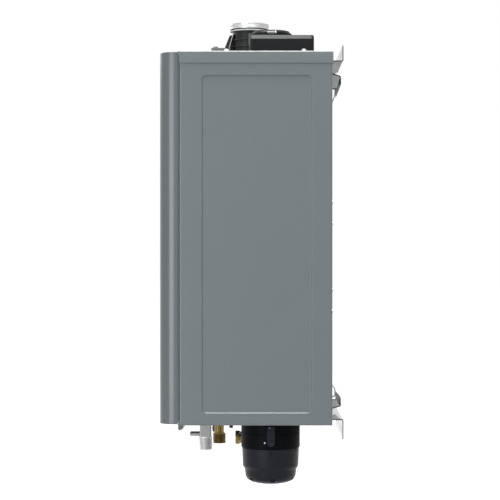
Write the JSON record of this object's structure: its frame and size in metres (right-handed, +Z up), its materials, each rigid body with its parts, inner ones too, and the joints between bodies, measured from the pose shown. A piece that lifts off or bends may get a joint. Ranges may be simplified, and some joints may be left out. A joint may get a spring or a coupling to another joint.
{
  "type": "tankless water heater",
  "caption": "Wall-hung condensing tankless water heater with a swing-off front cover, vent and air collars on top, threaded pipe ends below and a twist-off filter canister.",
  "frame": {"origin": "middle of the rear face of the upper wall flange, the face that lies on the wall", "axes": "+Z up, +Y into the wall, -Y towards the front cover, +X towards the right-hand side seen from the front"},
  "size_m": [0.4736, 0.35, 0.9142],
  "materials": {
    "casing_paint": "satin grey powder coat",
    "cover_paint": "satin grey powder coat",
    "bracket_zinc": "galvanised",
    "clamp_steel": "satin stainless",
    "strap_steel": "bright",
    "gas_steel": "machined",
    "pipe_steel": "satin",
    "exchanger_steel": "rolled stainless sheet",
    "copper": "drawn copper",
    "brass": "machined brass",
    "cast_aluminium": "die cast",
    "collar_plastic": "moulded, satin",
    "box_plastic": "moulded, fine grain",
    "canister_plastic": "moulded, satin",
    "spout_plastic": "moulded",
    "duct_plastic": "moulded",
    "bezel_plastic": "fine grain",
    "button_plastic": "satin",
    "cartridge_plastic": "matt",
    "ceramic": "glazed ceramic",
    "display": "smoked, polished",
    "board": "lacquered board",
    "gasket_rubber": "foam rubber",
    "seal_rubber": "silicone",
    "grommet_rubber": "moulded rubber"
  },
  "bodies": {
    "casing": {"case_wrap": "casing_paint", "top_cap": "casing_paint", "bottom_plate": "casing_paint", "cover_gasket": "gasket_rubber", "upper_wall_bracket": "bracket_zinc", "lower_wall_bracket": "bracket_zinc", "upper_hook": "bracket_zinc", "lower_hook": "bracket_zinc", "exhaust_collar": "collar_plastic", "vent_seal": "seal_rubber", "exhaust_clamp": "clamp_steel", "collar_strap": "strap_steel", "intake_box": "box_plastic", "intake_collar": "collar_plastic", "intake_clamp": "clamp_steel", "cable_bracket": "bracket_zinc", "hot_outlet_fitting": "brass", "gas_inlet_fitting": "gas_steel", "gas_test_port": "strap_steel", "cold_inlet_fitting": "brass", "condensate_spout": "spout_plastic", "blank_grommet": "grommet_rubber", "filter_head": "canister_plastic", "primary_exchanger": "copper", "secondary_exchanger": "exchanger_steel", "flue_duct": "duct_plastic", "burner": "exchanger_steel", "mixing_hood": "cast_aluminium", "blower_housing": "cast_aluminium", "blower_motor": "duct_plastic", "mixing_throat": "duct_plastic", "gas_valve": "cast_aluminium", "gas_pipe": "pipe_steel", "cold_pipe": "copper", "filtered_pipe": "copper", "flow_servo": "brass", "hot_pipe": "copper", "condensate_trap": "duct_plastic", "igniter": "ceramic", "control_tray": "duct_plastic", "main_board": "board"},
    "front_cover": {"front_cover": "cover_paint", "control_bezel": "bezel_plastic", "display_window": "display", "control_board": "board"},
    "power_button": {"power_button": "button_plastic"},
    "menu_button": {"menu_button": "button_plastic"},
    "up_button": {"up_button": "button_plastic"},
    "down_button": {"down_button": "button_plastic"},
    "cover_catch_left": {"cover_catch_left": "clamp_steel"},
    "cover_catch_right": {"cover_catch_right": "clamp_steel"},
    "canister": {"filter_bowl": "canister_plastic", "bowl_o_ring": "grommet_rubber", "media_cartridge": "cartridge_plastic"},
    "latch_lever": {"latch_lever": "canister_plastic"},
    "blower_wheel": {"blower_wheel": "duct_plastic"},
    "exhaust_clamp_screw": {"exhaust_clamp_screw": "clamp_steel"},
    "intake_clamp_screw": {"intake_clamp_screw": "clamp_steel"},
    "strainer_cap": {"strainer_cap": "brass"}
  },
  "joints": [
    {"name": "cover_swing", "type": "hinge", "parent": "casing", "child": "front_cover", "pos_m": [0, -0.31485, -0.011], "axis": [-1, 0, 0], "range_deg": [0, 25]},
    {"name": "power_press", "type": "slide", "parent": "front_cover", "child": "power_button", "axis": [0, 1, 0], "range_m": [0, 0.0012], "stiffness_N_per_m": 300},
    {"name": "menu_press", "type": "slide", "parent": "front_cover", "child": "menu_button", "axis": [0, 1, 0], "range_m": [0, 0.0012], "stiffness_N_per_m": 300},
    {"name": "up_press", "type": "slide", "parent": "front_cover", "child": "up_button", "axis": [0, 1, 0], "range_m": [0, 0.0012], "stiffness_N_per_m": 300},
    {"name": "down_press", "type": "slide", "parent": "front_cover", "child": "down_button", "axis": [0, 1, 0], "range_m": [0, 0.0012], "stiffness_N_per_m": 300},
    {"name": "catch_left_turn", "type": "hinge", "parent": "casing", "child": "cover_catch_left", "pos_m": [-0.18, -0.309, -0.715], "axis": [1, 0, 0], "range_deg": [0, 80]},
    {"name": "catch_right_turn", "type": "hinge", "parent": "casing", "child": "cover_catch_right", "pos_m": [0.18, -0.309, -0.715], "axis": [1, 0, 0], "range_deg": [0, 80]},
    {"name": "canister_twist", "type": "hinge", "parent": "casing", "child": "canister", "pos_m": [0.16, -0.141, -0.75], "axis": [0, 0, 1], "range_deg": [0, 45]},
    {"name": "latch_swing", "type": "hinge", "parent": "casing", "child": "latch_lever", "pos_m": [0.2191, -0.141, -0.714], "axis": [0, -1, 0], "range_deg": [0, 14], "stiffness_Nm_per_rad": 0.2, "springref_deg": -2.86},
    {"name": "blower_spin", "type": "hinge", "parent": "casing", "child": "blower_wheel", "pos_m": [0.165, -0.18, -0.165], "axis": [0, 1, 0], "continuous": true},
    {"name": "exhaust_screw_turn", "type": "hinge", "parent": "casing", "child": "exhaust_clamp_screw", "pos_m": [-0.1649, -0.182, 0.08275], "axis": [0, 1, 0], "continuous": true},
    {"name": "intake_screw_turn", "type": "hinge", "parent": "casing", "child": "intake_clamp_screw", "pos_m": [0.135, -0.139, 0.04025], "axis": [0, 1, 0], "continuous": true},
    {"name": "strainer_cap_turn", "type": "hinge", "parent": "casing", "child": "strainer_cap", "pos_m": [0.062, -0.2, -0.7472], "axis": [0, 1, 0], "continuous": true}
  ]
}
